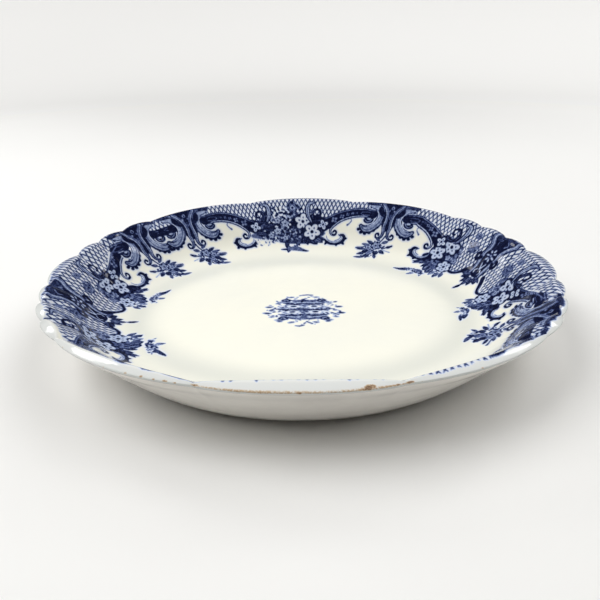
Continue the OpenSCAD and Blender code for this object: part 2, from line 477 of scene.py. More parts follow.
class Sheet:
    """A flat sheet of print: ink from 0 to 1 on a grid of places along and down."""

    def __init__(self, along, down, width=None):
        self.along, self.down = along, down
        self.width = np.ones(len(down)) if width is None else width
        self.pitch = along[1] - along[0]
        self.ink = np.zeros((len(down), len(along)))
        self.flow = self.ink

    def paint(self, low, high, distance, tone, soft=SOFT):
        """Lays a tone where distance, in mm from the shape's edge, is negative."""
        first = int(np.floor((low[0] - self.along[0]) / self.pitch))
        last = int(np.ceil((high[0] - self.along[0]) / self.pitch)) + 1
        columns = np.arange(first, last)
        rows = np.arange(*np.searchsorted(self.down, [low[1], high[1]]))
        if len(rows) == 0:
            return
        gap = distance(self.along[0] + columns[None, :] * self.pitch, self.down[rows][:, None])
        part = np.ix_(rows, columns % len(self.along))
        self.ink[part] = mix(self.ink[part], tone, smooth_step(0.5 - gap / (2 * soft)))

    def stretch(self, down):
        """How much wider to draw at this depth, because the wall draws together below."""
        return 1 / np.interp(down, self.down, self.width)

    def spread(self, passes):
        """The ink's slight flow into the glaze around it."""
        flow = self.ink.copy()
        for _ in range(passes):
            flow = (np.roll(flow, 1, 1) + 2 * flow + np.roll(flow, -1, 1)) / 4
            flow = (np.roll(flow, 1, 0) + 2 * flow + np.roll(flow, -1, 0)) / 4
        self.flow = flow

    def row(self, field, down):
        """One row of ink or flow at a distance down the wall."""
        grid = getattr(self, field)
        place = np.interp(down, self.down, np.arange(len(self.down)))
        low = min(int(place), len(self.down) - 2)
        return mix(grid[low], grid[low + 1], place - low)

    def sample(self, field, along, down):
        """Ink or flow at separate points."""
        grid = getattr(self, field)
        x = np.clip((along - self.along[0]) / self.pitch, 0, len(self.along) - 1.001)
        y = np.interp(down, self.down, np.arange(len(self.down)))
        i, j = x.astype(int), np.minimum(y.astype(int), len(self.down) - 2)
        upper = mix(grid[j, i], grid[j, i + 1], x - i)
        return mix(upper, mix(grid[j + 1, i], grid[j + 1, i + 1], x - i), y - j)


def brush(sheet, points, widths, tone, soft=SOFT, steps=7):
    """A smooth line through points. Its half widths are spread evenly along it."""
    line = np.asarray(points, float)
    if len(line) > 2:
        knots = np.arange(len(line))
        line = smooth(knots, line, np.linspace(0, len(line) - 1, steps * (len(line) - 1) + 1))
    given = np.atleast_1d(widths)
    width = np.interp(np.linspace(0, 1, len(line)), np.linspace(0, 1, len(given)), given)

    def distance(x, y):
        gap = np.inf
        for i in range(len(line) - 1):
            (ax, ay), (bx, by) = line[i], line[i + 1]
            dx, dy = bx - ax, by - ay
            u = np.clip(((x - ax) * dx + (y - ay) * dy) / (dx * dx + dy * dy + 1e-9), 0, 1)
            reach = np.hypot(x - ax - u * dx, y - ay - u * dy)
            gap = np.minimum(gap, reach - mix(width[i], width[i + 1], u))
        return gap

    room = width.max() + 1.5
    sheet.paint(line.min(0) - room, line.max(0) + room, distance, tone, soft)


def curl(x, y, start, end, angle, turns, steps=14):
    """Points of a curl round (x, y), its radius going from start to end."""
    share = np.linspace(0, 1, steps)
    turn, radius = np.radians(angle + 360 * turns * share), mix(start, end, share)
    return [(x + r * math.cos(a), y + r * math.sin(a)) for a, r in zip(turn, radius)]


class Motif:
    """Draws in a motif's own coordinates: x from a place on the rim, in direction way, y down."""

    def __init__(self, sheet, at, way=1, laid=True):
        self.sheet, self.at, self.way, self.laid = sheet, at, way, laid

    def half(self, side):
        """The motif with its x towards one side, for what is drawn alike on both."""
        return Motif(self.sheet, self.at, side * self.way, self.laid)

    def place(self, x, y):
        """Sheet position of a point of the motif."""
        along = self.at + self.way * x
        lean, stretch = lay(along) if self.laid else (0, 1)
        return along + lean * min(y, LEAN_DEPTH), y * stretch

    def local(self, x, y, turn):
        """Sheet position of a point, and a function that turns sheet points into its frame."""
        px, py = self.place(x, y)
        wide = self.sheet.stretch(py)
        cos, sin = math.cos(math.radians(turn)), math.sin(math.radians(turn))

        def frame_of(sx, sy):
            u, v = self.way * (sx - px) / wide, sy - py
            return u * cos + v * sin, v * cos - u * sin
        return px, py, wide, frame_of

    def line(self, points, widths, tone, soft=SOFT):
        brush(self.sheet, [self.place(x, y) for x, y in points], widths, tone, soft)

    def band(self, points, widths, inner, edge=0.75, line=DARK):
        """A scroll band: dark edge lines either side of a paler middle."""
        widths = np.atleast_1d(widths).astype(float)
        self.line(points, widths + edge, line)
        self.line(points, widths, inner)

    def oval(self, x, y, half_x, half_y, tone, turn=0.0, soft=SOFT):
        px, py, wide, frame_of = self.local(x, y, turn)

        def distance(sx, sy):
            u, v = frame_of(sx, sy)
            return (np.hypot(u / half_x, v / half_y) - 1) * min(half_x, half_y)
        reach = max(half_x, half_y) + 1.0
        low, high = (px - reach * wide, py - reach), (px + reach * wide, py + reach)
        self.sheet.paint(low, high, distance, tone, soft)

    def leaf(self, x, y, length, half_width, turn, tone, vein=None):
        """A pointed leaf from (x, y) towards turn degrees, 90 being straight down the wall."""
        px, py, wide, frame_of = self.local(x, y, turn)

        def blade(share):
            def distance(sx, sy):
                u, v = frame_of(sx, sy)
                a = np.clip(u / length, 0, 1)
                side = half_width * (4 * a * (1 - a)) ** 0.75 * (1.25 - 0.5 * a) * share
                return np.maximum(np.abs(v) - side, np.abs(u - length / 2) - length / 2)
            return distance
        reach = length + 1.0
        low, high = (px - reach * wide, py - reach), (px + reach * wide, py + reach)
        self.sheet.paint(low, high, blade(1.0), tone)
        if vein is not None:
            self.sheet.paint(low, high, blade(0.28), vein, 0.3)

    def flower(self, x, y, radius, petals=5, turn=0.0, light=0.1, ground=DARK, dots=True):
        """Light petals with dark dots round a dark eye, on a dark ground."""
        wide = self.sheet.stretch(y)
        if ground is not None:
            self.oval(x, y, 1.12 * radius, 1.12 * radius, ground)
        for k in range(petals):
            a = turn + 360 * k / petals
            dx, dy = wide * math.cos(math.radians(a)), math.sin(math.radians(a))
            self.oval(x + 0.6 * radius * dx, y + 0.6 * radius * dy, 0.46 * radius, 0.37 * radius, light, a)
            if dots:
                self.oval(x + 0.52 * radius * dx, y + 0.52 * radius * dy, 0.11 * radius,
                          0.08 * radius, DEEP, a, 0.3)
        self.oval(x, y, 0.19 * radius, 0.19 * radius, DARK)


# ---------------------------------------------------------------- the border's motifs

# Panels of the border, in mm round the rim from the middle of the rear side
JUNCTIONS = [93, 338, 392, 590, 632, 866, 921]
LEANS = [-1, 1, 0, 0, -1, 1, 1]  # which way the spray under each junction hangs, 0 for no spray
PANELS = ["long", "link", "short", "link", "long", "link", "short"]
SHORT_REACH = 62  # from a junction to the end of its arm
LONG_REACH = {1: 54.5, -1: 44}  # the same at the start and at the end of a long panel
BOUQUET_SLIP = {1: 0, -1: -8}
LEAF_AT = {1: 34, -1: 20}

# How far down the net reaches, at distances from the nearer junction
NET_EDGES = {"long": ([0, 10, 20, 44, 60, 70, 84, 93, 101, 107, 112],
                      [4, 4, 9, 10, 20, 40, 45, 48, 46, 41, 36]),
             "short": ([0, 10, 20, 44, 62, 75, 110], [4, 4, 8, 10, 18, 26, 30]),
             "link": ([0, 10, 16, 28], [4, 4, 11, 12])}
DIAMOND_WIDTH, DIAMOND_HEIGHT = 4.1, 8.4

# Where round the rim the print starts, as distances from the crest
STARTS = ([0, 200, 300, 340, 380, 420, 455, 468, 570, 585, 610, 628, 650, 672, 690, 720, 770, 860],
          [-6, -6, -5, -3, -0.8, -1.6, -2.2, -0.3, -0.3, -0.6, -0.4, 0.8, 3, 4.5, 1, -2.5, -5, -6])
START_WANDER = 1.2  # how unevenly that edge runs

MEDALLION_STRENGTH = 0.84  # the medallion is printed this much more thinly than the border
LIP_BLUE = 0.1  # how blue the glaze is all along the lip


def panels():
    ends = JUNCTIONS[1:] + [JUNCTIONS[0] + PERIMETER]
    return list(zip(PANELS, JUNCTIONS, ends))


def net_ground(sheet):
    """Light lozenges between dark lines, from the lip down to the arms and swags."""
    down = sheet.down[:, None]
    lean, stretch = lay(sheet.along)
    along, deep = sheet.along[None, :] - lean * np.minimum(down, LEAN_DEPTH), down / stretch
    width = PERIMETER / round(PERIMETER / DIAMOND_WIDTH)
    steepness = math.hypot(1 / width, 1 / DIAMOND_HEIGHT)
    lines = np.inf
    for side in (1, -1):
        place = along / width + side * deep / DIAMOND_HEIGHT
        lines = np.minimum(lines, np.abs(place - np.round(place)) / steepness)
    lozenges = mix(DEEP, 0.04, smooth_step((lines - 0.1) / 0.75))
    depth = np.zeros(along.shape)
    for kind, start, end in panels():
        x = np.mod(along - start, PERIMETER)
        near = np.minimum(x, end - start - x + (8 if kind == "long" else 0))
        depth = np.where(x < end - start, np.interp(near, *NET_EDGES[kind]), depth)
    sheet.ink = mix(sheet.ink, lozenges, smooth_step(depth - deep + 0.5))


def moved(points, x, y=0.0):
    """Points shifted along and down."""
    return [(a + x, b + y) for a, b in points]


def flecks(m, x, y, half_x, half_y, count, tones, size=0.8):
    """Small scattered touches that fill an oval patch of leaves and petals."""
    for k in range(count):
        turn, way = 2.399963 * k, math.sqrt((k + 0.5) / count)  # golden angle, an even scatter
        place = (x + half_x * way * math.cos(turn), y + half_y * way * math.sin(turn))
        grow = size * RANDOM.uniform(0.7, 1.5)
        m.oval(*place, grow, 0.55 * grow, tones[k % len(tones)], RANDOM.uniform(0, 180), 0.3)


def volute(m):
    """The pale C scroll at a junction, round the dark end of an arm."""
    path = [(21, 4), (14, 5.5), (9.5, 10.5), (9, 16.5), (12, 22.5), (17.5, 27), (23.5, 28), (28, 25)]
    m.line(path, [2.2, 3.7, 4.3, 4.3, 4.3, 4.2, 3.6, 2.0], DARK)
    for x, y in [(10.5, 25), (13.5, 28.5), (17.5, 31), (22, 32.2), (26.4, 31.3), (29.6, 28.4)]:
        m.oval(x, y, 1.7, 1.5, DARK)
    m.line(path, [1.2, 2.5, 2.9, 2.9, 2.8, 2.6, 2.1, 0.8], 0.36)
    m.line(moved(path[1:], -0.5, 0.5), 0.28, DEEP, 0.3)
    inner = [(21, 6.6), (15.4, 8.2), (12.6, 11.6), (12.2, 16), (14.6, 20.6), (18.6, 24), (23.4, 24.8)]
    m.line(inner, 0.4, 0.06, 0.3)
    m.line(moved(inner[1:], 0.9, -0.4), 0.3, DARK)
    m.line([(19, 4), (22, 3.4), (24, 5), (22.6, 6.8), (20.6, 6)], 0.35, PALE, 0.3)
    m.oval(21, 19.4, 5.2, 3.6, DARK)
    m.line([(14.8, 17.6), (16.8, 21.2), (21.2, 22.8), (25.8, 21.4), (27.6, 18)], 0.55, 0.1, 0.3)
    m.line([(17.4, 17.6), (19.4, 20), (22.4, 20.6), (25, 18.6)], 0.45, WASH, 0.3)
    m.oval(21, 17.6, 2.2, 1.1, 0.25)
    m.oval(17.2, 13, 3.6, 4.0, DARK)


def arm(m, reach):
    """Dark band from a junction towards a bouquet, with beads, a curl and a bud below."""
    top = [(17, 9), (30, 7.8), (reach - 20, 9), (reach - 9, 13.2), (reach + 1, 18.2), (reach + 9, 21.3),
           (reach + 19, 22)]
    low = [(20, 16.6), (28, 15.2), (reach - 23, 16.6), (reach - 14, 20), (reach - 7.5, 24.2),
           (reach - 2.5, 29), (reach - 1.8, 32.6), (reach - 4, 35.2), (reach - 7.4, 35.2),
           (reach - 8.6, 32.8), (reach - 6.6, 31.2), (reach - 4.9, 32.6)]
    body = [(17, 12.8), (30, 11.6), (reach - 21, 12.8), (reach - 11, 17), (reach - 2, 22.6), (reach + 5, 26)]
    m.line(body, [3.2, 3.4, 3.6, 4.2, 5.2, 5.4], DARK)
    m.line(top, 1.1, DARK)
    m.line(top, [0.3, 0.4, 0.42, 0.4, 0.35, 0.25, 0.1], 0.34, 0.3)
    m.line(low, [1.3, 1.4, 1.5, 1.5, 1.5, 1.4, 1.2, 1.1, 1.05, 1.0, 0.9, 0.9], DARK)
    m.line(low[:8], [0.3, 0.45, 0.5, 0.55, 0.5, 0.45, 0.4, 0.3], 0.14, 0.3)
    m.line([(19, 12.8), (23, 10.7), (29, 10.9), (30.6, 12.5), (27, 14), (20.5, 13.7)], 0.28, WASH, 0.3)
    for x, y, radius in [(35, 12.2, 1.0), (39, 12.8, 1.3), (43.5, 14.4, 1.7), (49, 16.8, 2.3),
                         (56.5, 20.6, 3.1)]:
        x = 30 + (x - 30) * (reach - 30) / 31
        m.flower(x, y, radius, 4, 40, light=0.42, ground=None, dots=False)
        m.oval(x, y, 0.35 * radius, 0.35 * radius, DEEP)
    m.flower(reach + 7, 25.6, 4.6, 4, 20, light=0.14)
    m.line([(reach - 21, 17.6), (reach - 23, 20.6), (reach - 21, 23.6), (reach - 19.4, 25)],
           [0.35, 0.45, 0.6, 0.9], MID)


def c_leaf(m, x, y):
    """Curled leaf under an arm's end: spiky dark back and a light inner rim."""
    back = [(6, -3.5), (2.6, -2.9), (1, 0), (2.6, 3.4), (7, 5.4), (13, 6), (19, 5), (23, 2)]
    m.line(moved(back, x, y), [0.8, 1.5, 1.9, 1.9, 1.7, 1.6, 1.5, 1.0], DARK)
    for a, b, length, turn in [(1.6, 0.2, 3.4, 186), (3, 4, 3.8, 136), (9, 6, 3.0, 110), (20, 4, 4.0, 62)]:
        m.leaf(x + a, y + b, length, 1.3, turn, DARK)
    inner = moved([(6.4, -2.4), (4, -0.4), (5.4, 2.3), (10, 4.1), (15.5, 3.8), (20, 1.4), (21.6, -2)], x, y)
    m.line(inner, [0.4, 0.8, 1.0, 1.1, 1.1, 0.8, 0.3], PALE, 0.3)
    m.line(inner, 0.24, MID, 0.25)
    m.line(moved(inner[:4], 1.5, -1.2), [0.5, 0.3, 0.3, 0.2], DEEP, 0.3)


def draw_leaves(m, leaves):
    """Leaves given as x, y, length, half width, turn and tone: a dark rim, a mottled blade, a vein."""
    for x, y, length, half_width, turn, tone in leaves:
        m.leaf(x, y, length, half_width, turn, min(tone + 0.3, DARK))
        m.leaf(x, y, 0.84 * length, 0.58 * half_width, turn, 0.8 * tone, min(tone + 0.3, DARK))


def junction(m, lean):
    """Two strands that come together between two volutes, and the flower spray that hangs below."""
    m.line([(-24, 0.6), (-10, -1.4), (10, -1.4), (24, 0.6)], 2.2, DEEP)
    m.oval(0, 7, 13, 8.5, DARK)
    m.oval(0, 18, 6.5, 10, DARK)
    strand = [(10, 1), (5.6, 6), (3, 12), (2.6, 18), (3.2, 24), (2.5, 29), (3.4, 33.4), (6.4, 35.6)]
    hook = [(6, 35.6), (9, 34.8), (9.7, 32), (7.5, 30.9), (6.4, 32.2)]
    for half in (m.half(1), m.half(-1)):
        half.band(strand, [1.6, 1.6, 1.5, 1.5, 1.4, 1.2, 0.8, 0.3], 0.6, 0.7)
        half.line(moved(strand[:6], 0.9), 0.28, 0.16, 0.3)
        half.line(moved(strand[:6], -0.8), 0.2, WASH, 0.3)
        half.line(hook, [0.8, 0.85, 0.8, 1.0, 1.1], DARK)
        half.line([(7, 9), (9.4, 4.6), (15, 1.2)], 0.3, WASH, 0.3)
        half.line([(7.4, 15), (7, 21), (8.6, 25)], [0.3, 0.4, 0.3], MID, 0.3)
        half.oval(2.3, 7.4, 0.7, 1.0, WASH)
    m.oval(0, 4.2, 1.5, 1.8, 0.3)
    m.oval(0, 4.4, 0.7, 0.9, DARK)
    m.leaf(0, 10.5, 6, 0.8, 90, MID)
    if lean:
        spray(Motif(m.sheet, m.at, lean))


def spray(m):
    """Hanging spray of leaves and small flowers, its tail pointing along +x."""
    m.line([(-1, 33), (1, 37), (4, 42), (7, 50), (12, 57)], [0.8, 0.7, 0.6, 0.6, 0.4], DEEP)
    m.line([(2, 44), (-4, 45), (-8, 43), (-12, 41.4)], [0.6, 0.6, 0.5, 0.9], DARK)
    m.line([(-2, 46), (-7, 47.6), (-13, 48.4)], [0.5, 0.4, 0.5], WASH)
    m.line([(8, 46), (15, 45.2), (21, 46.5), (27, 47.6)], [0.8, 0.6, 0.5, 0.8], DEEP)
    flecks(m, 6, 45, 10, 6, 26, [MID, DEEP, PALE, DARK], 1.1)
    flecks(m, 11, 54, 9, 6, 22, [MID, DARK, WASH, DEEP], 1.1)
    draw_leaves(m, [
        (-6, 44, 5, 1.3, 200, DEEP), (0, 40, 6, 1.6, 205, MID), (3, 38, 6, 1.4, -35, MID),
        (9, 42, 7, 1.5, -24, DEEP), (12, 44, 8, 1.4, -8, MID), (16, 48, 8, 1.2, 8, DEEP),
        (0, 48, 7, 1.8, 150, DEEP), (2, 49, 6, 2.4, 84, DARK), (7, 50, 6, 2.0, 62, MID),
        (12, 49, 7, 2.3, 42, DARK), (10, 53, 7, 1.8, 88, MID), (15, 53, 7, 1.8, 24, DEEP),
        (8, 57, 8, 1.3, 12, DEEP), (13, 59.5, 9, 1.5, 6, MID), (3, 54, 6, 1.4, 118, MID)])
    m.flower(5.5, 43.4, 3.8, 5, 10, light=0.34, ground=DARK)
    m.flower(13, 46.6, 2.6, 5, 40, light=0.3, ground=DEEP)
    m.flower(9, 51.4, 2.4, 5, 0, light=0.4, ground=None)


def florets(m, places, light, ground=DEEP):
    """Small five-petalled flowers given as x, y and radius."""
    for x, y, radius in places:
        m.flower(x, y, radius, 5, 17 * x, light=light, ground=ground)


def scroll_and_wing(m, x, y):
    """A dark curl at the end of an arm and the pale leaf that stands beside it, up in the net."""
    wing = moved([(6, 9), (9.5, 3), (10.5, -4), (9, -9.5), (3, -10.5)], x, y)
    m.line(wing, [1.4, 2.4, 2.8, 2.2, 0.8], DARK)
    m.line(wing, [0.6, 1.4, 1.8, 1.3, 0.2], 0.3, 0.3)
    m.line(moved(wing[:4], 0.2, 0.4), 0.26, DEEP, 0.3)
    ring = moved([(-7, 6), (-1, 8.4), (4, 6), (5, 0.6), (1.4, -3.6), (-3, -2), (-3, 2), (-0.4, 2.6)], x, y)
    m.line(ring, [1.6, 1.9, 1.7, 1.5, 1.2, 1.0, 0.9, 0.9], DARK)
    m.line(ring[:5], 0.3, MID, 0.3)


def side_bouquet(m, slip):
    """Bouquet of a long panel, in distances from its junction."""
    m = Motif(m.sheet, m.at + m.way * slip, m.way)
    for x, y, half_x, half_y, tone in [(66, 27, 10, 8, DARK), (75, 36, 12, 10, DEEP),
                                       (66, 42, 13, 5, DARK), (84, 33, 6, 11, MID), (74, 47, 9, 6, MID)]:
        m.oval(x, y, half_x, half_y, tone)
    flecks(m, 84, 32, 7, 12, 44, [WASH, DARK, 0.25, DEEP], 1.0)
    flecks(m, 74, 44, 11, 7, 40, [MID, DARK, WASH, DARK], 1.0)
    flecks(m, 82, 56, 8, 4, 22, [0.15, MID, WHITE, DEEP], 1.0)
    m.oval(71, 39, 6, 4, DARK)
    draw_leaves(m, [
        (56, 43, 8, 1.8, 140, DARK), (60, 45, 9, 1.9, 130, DEEP), (57, 46, 12, 1.7, 142, MID),
        (63, 47, 9, 1.7, 118, DEEP), (52, 49, 7, 1.2, 160, DEEP), (68, 50, 9, 4.2, 112, MID),
        (72, 52, 9, 3.4, 100, MID), (66, 60, 12, 2.2, 160, MID), (56, 62, 13, 1.9, 166, DEEP),
        (47, 66.4, 11, 1.4, 177, DEEP), (60, 64, 9, 1.6, 120, WASH), (66, 62, 7, 1.2, 70, MID),
        (78, 54, 8, 1.8, 100, WASH), (83, 54, 9, 1.8, 84, MID), (87, 52, 8, 1.6, 70, MID)])
    flecks(m, 58, 63.5, 15, 3.2, 40, [MID, DEEP, WHITE, DARK, 0.2], 0.9)
    m.flower(76, 27, 7.2, 5, -20, light=0.17)
    m.flower(64, 36, 6.9, 5, 30, light=0.17)
    m.flower(82, 46.5, 6.0, 6, 10, light=0.2)
    florets(m, [(88, 38, 2.6), (71, 20.5, 2.2), (79, 37, 2.6)], 0.3)
    scroll_and_wing(m, 72, 13.5)
    m.flower(98, 20, 4.8, 6, 0, light=0.45, ground=DEEP)
    flecks(m, 98, 20, 6, 7, 16, [DEEP, MID], 1.1)
    m.flower(95.5, 9, 2.6, 5, 0, light=0.5, ground=MID)


def swag(m):
    """Dark line that closes a net field below."""
    m.line([(87, 45), (92, 47.6), (98, 47.4), (104, 43.4), (111, 37)], [1.4, 1.5, 1.5, 1.9, 2.3], DARK)
    m.line([(88, 44.4), (93, 46.6), (98.5, 46), (104, 42)], 0.35, WASH, 0.3)


def pendant(m):
    """Scrolled panel in the middle of a long panel, with a drop below."""
    m.oval(0, 2, 15, 5, DEEP)
    m.oval(0, 16, 10, 15, DARK)
    m.oval(0, 33, 8, 9, DARK)
    band = [(12, -3), (13.5, 3), (10, 9), (8.5, 15), (9, 22), (7.5, 29), (7, 36), (9, 41)]
    hook = [(9, 24), (12.5, 27), (14.6, 24), (13.4, 20.6), (11.4, 21.4)]
    for half in (m.half(1), m.half(-1)):
        half.band(band, [1.3, 1.8, 1.6, 1.7, 1.8, 1.6, 1.4, 0.8], 0.48, 0.9)
        half.line(moved(band, -0.5), 0.3, 0.18, 0.3)
        half.line(hook, [1.6, 1.6, 1.4, 1.1, 1.1], DARK)
        half.line([(4, 3), (7, 5.5), (5, 8.5)], 0.5, WASH, 0.3)
        half.line([(2.2, 33.4), (4.4, 35.6), (3.4, 38)], 0.5, 0.12, 0.3)
        draw_leaves(half, [(4, 41, 8, 2.6, 44, DARK), (2, 43, 9, 2.0, 70, DEEP), (5, 40, 8, 1.6, 24, MID)])
    m.oval(0, 19, 6.6, 7, DARK)
    for turn in range(22, 382, 51):
        a = math.radians(turn)
        m.oval(4.1 * math.cos(a), 19 + 4.6 * math.sin(a), 1.9, 1.0, 0.2, turn)
    m.oval(0, 19, 1.2, 1.2, WASH)
    for half in (m.half(1), m.half(-1)):
        half.line([(0, 33), (1.4, 30), (3, 27)], [0.9, 0.8, 0.5], 0.2)
    draw_leaves(m, [(0, 42, 13, 2.2, 90, MID)])
    m.leaf(0, 53, 9, 1.4, 90, DARK)


def middle_bouquet(m):
    """Bouquet of a short panel, in distances from its middle."""
    for x, y, half_x, half_y, tone in [(-14, 26, 26, 9, MID), (22, 26, 20, 10, DARK), (0, 34, 34, 7, DEEP),
                                       (12, 40, 24, 5, DEEP), (4, 10, 8, 7, MID), (-26, 34, 16, 4, MID)]:
        m.oval(x, y, half_x, half_y, tone)
    flecks(m, -12, 19, 14, 12, 90, [0.0, DARK, 0.1, DARK, WHITE, DEEP], 1.7)
    flecks(m, -14, 32, 22, 6, 80, [0.25, DARK, WASH, DARK, 0.1, DARK], 1.5)
    flecks(m, 8, 36, 26, 6, 70, [DARK, MID, DARK, 0.3], 1.4)
    flecks(m, -28, 40.5, 16, 4.5, 54, [WHITE, MID, 0.15, DEEP, WHITE], 0.9)
    flecks(m, 4, 11, 9, 9, 40, [DEEP, 0.1, DARK, 0.3], 1.5)
    draw_leaves(m, [
        (-30, 22, 13, 2.0, -32, DARK), (-29, 26, 13, 2.2, -8, DEEP), (-31, 20, 12, 1.5, -50, DEEP),
        (-28, 29, 12, 1.7, 4, DARK), (-40, 31, 17, 2.4, 12, DEEP), (-24, 34, 14, 1.4, 4, MID),
        (24, 39, 10, 3.6, 40, DEEP), (30, 39, 9, 2.6, 30, MID), (18, 38, 9, 2.4, 70, DARK),
        (6, 40, 8, 2.2, 60, DEEP), (-4, 41, 9, 2.2, 100, DARK), (12, 40, 9, 2.0, 120, MID),
        (4, 46, 9, 2.4, 60, MID), (-2, 47, 9, 2.2, 105, MID)])
    m.line([(-13, 51), (-6, 51), (2, 50.4), (9, 51), (16, 53), (22, 54)], [0.4, 1.4, 2.6, 2.8, 1.7, 0.4], MID)
    m.line([(-13, 51), (-9, 51), (-5, 51.4)], [0.3, 1.0, 0.5], DARK)
    m.line([(15, 53.6), (19, 54), (23, 54)], [0.6, 1.0, 0.3], DARK)
    florets(m, [(-14, 31, 3.4), (-5, 24, 3.6), (-13, 21, 2.8), (-20, 18, 2.6), (-22, 35, 2.6),
                (-6, 38, 2.6)], 0.2)
    m.flower(4, 8.4, 4.6, 6, 0, light=0.55, ground=DARK)
    m.line(curl(4, 8.4, 2.2, 1.8, 0, 0.9), 0.4, PALE, 0.3)
    m.flower(15, 22.6, 7.6, 5, -14)
    m.flower(25.6, 32.6, 7.8, 5, 12)
    for side, at in ((-1, -31.5), (1, 30.5)):
        scroll_and_wing(Motif(m.sheet, m.at + at, -side), 0, 14)


def border_sheet():
    """The whole border print."""
    along = columns(COLUMNS)
    down = np.arange(PRINT_FIRST, PRINT_LAST, ROW_STEP)
    rings = face_rings(down, COLUMNS)
    gaps = np.linalg.norm(np.roll(rings, -1, axis=1) - rings, axis=-1).mean(1)
    sheet = Sheet(along, down, gaps * COLUMNS / PERIMETER)
    net_ground(sheet)
    for kind, start, end in panels():
        middle = Motif(sheet, (start + end) / 2)
        if kind == "short":
            middle_bouquet(middle)
        for way, at in ((1, start), (-1, end)):
            m = Motif(sheet, at, way)
            if kind == "long":
                swag(Motif(sheet, at + way * BOUQUET_SLIP[way] / 2, way))
                side_bouquet(m, BOUQUET_SLIP[way])
                arm(m, LONG_REACH[way])
                c_leaf(m, LEAF_AT[way], 41)
            elif kind == "short":
                arm(m, SHORT_REACH)
                c_leaf(m, 42.5, 38.6)
            else:
                m.line([(15, 13.5), ((end - start) / 2, 13.5)], 4, DARK)
                m.line([(17, 12.6), (21, 11.2), (25, 12.4), (21, 14)], 0.28, WASH, 0.3)
        if kind == "long":
            pendant(middle)
        for way, at in ((1, start), (-1, end)):
            volute(Motif(sheet, at, way))
    for at, lean in zip(JUNCTIONS, LEANS):
        junction(Motif(sheet, at), lean)
    wander = RANDOM.uniform(-START_WANDER, START_WANDER, 240)
    start = np.interp(sheet.along, *STARTS, period=PERIMETER)
    start += np.interp(sheet.along, np.linspace(0, PERIMETER, len(wander)), wander)
    sheet.ink *= smooth_step((sheet.down[:, None] - start) / 1.6)
    sheet.spread(14)
    sheet.flow = np.maximum(sheet.flow, LIP_BLUE * smooth_step((3 - sheet.down[:, None]) / 3))
    return sheet


def medallion_sheet():
    """The print in the middle of the well. Here y is measured towards the rear."""
    sheet = Sheet(np.arange(-44, 44.01, 0.3), np.arange(-40, 40.01, 0.3))
    m = Motif(sheet, 2.0, laid=False)
    flecks(m, 0, 2, 29, 23, 230, [MID, WHITE, 0.3, WHITE, DEEP, WHITE, WASH, WHITE], 1.2)
    for y, half_x, half_y in [(14, 16, 4), (3, 20, 9), (-7, 18, 6)]:
        m.oval(0, y, half_x, half_y, 0.42)
    flecks(m, 0, 3, 20, 15, 120, [DEEP, 0.2, MID, 0.1, DARK], 1.1)
    for y, half_x, tone in [(16.4, 11, DEEP), (11.4, 16, DARK), (2.3, 22, DARK), (-6, 19, DARK),
                            (-11, 12, DEEP)]:
        m.line([(-half_x, y + 0.8), (-0.7 * half_x, y - 0.4), (-half_x / 3, y - 1.0), (0, y + 0.6),
                (half_x / 3, y - 1.0), (0.7 * half_x, y - 0.4), (half_x, y + 0.8)],
               [0.4, 0.9, 1.1, 0.6, 1.1, 0.9, 0.4], tone, 0.7)
    outer = [(27, 6, 3, DEEP), (28, -3.5, 3.4, DARK), (24, -9, 2.6, MID), (20, 12, 2.6, MID),
             (10, 22, 2.6, MID), (9, -17, 2.6, MID), (18, -15.5, 2.2, DEEP), (24, 1, 2, MID)]
    for half in (m.half(1), m.half(-1)):
        for y, middle in [(6.9, 8), (-1.8, 8.8)]:
            half.oval(middle, y, 5.4, 2.3, 0.1)
            half.oval(middle, y + 0.2, 2.2, 1.2, DARK)
            half.line([(15.4, y + 1), (18, y), (20.6, y - 0.8)], 0.8, 0.12)
        for y in (13.9, -8.4):
            half.line([(3, y), (8, y - 0.6), (13, y + 0.2)], 0.6, WASH)
        for middle, y in [(14, 16.6), (15.5, -11.2)]:
            half.oval(middle, y, 3.8, 2.6, DARK)
            half.oval(middle + 3, y - 2.5, 3, 1.1, MID, 0, 0.9)
            half.line([(middle - 1.6, y - 0.7), (middle, y + 0.9), (middle + 1.7, y)], 0.45, WASH)
        for x, y, half_x, tone in outer:
            half.oval(x, y, 0.8 * half_x, 1.1, tone, RANDOM.uniform(-20, 10), 0.9)
    for y, half_y, tone in [(17, 2.2, DARK), (9, 3.0, MID), (1, 2.6, DEEP), (-7, 3.0, DEEP), (-12, 1.6, MID)]:
        m.oval(RANDOM.uniform(-0.8, 1.2), y, 1.9, half_y, tone, 0, 0.9)
    for points in [[(-3, 25), (2, 26), (7, 25.6)], [(-6, -22), (-3, -22.4), (0, -21)],
                   [(2, -16), (6, -19)], [(-22, 4), (-26, 1)], [(21, -3), (26, -6)]]:
        m.line(points, [0.5, 0.8, 0.5][:len(points)], DEEP, 0.7)
    sheet.ink *= MEDALLION_STRENGTH
    sheet.spread(10)
    return sheet


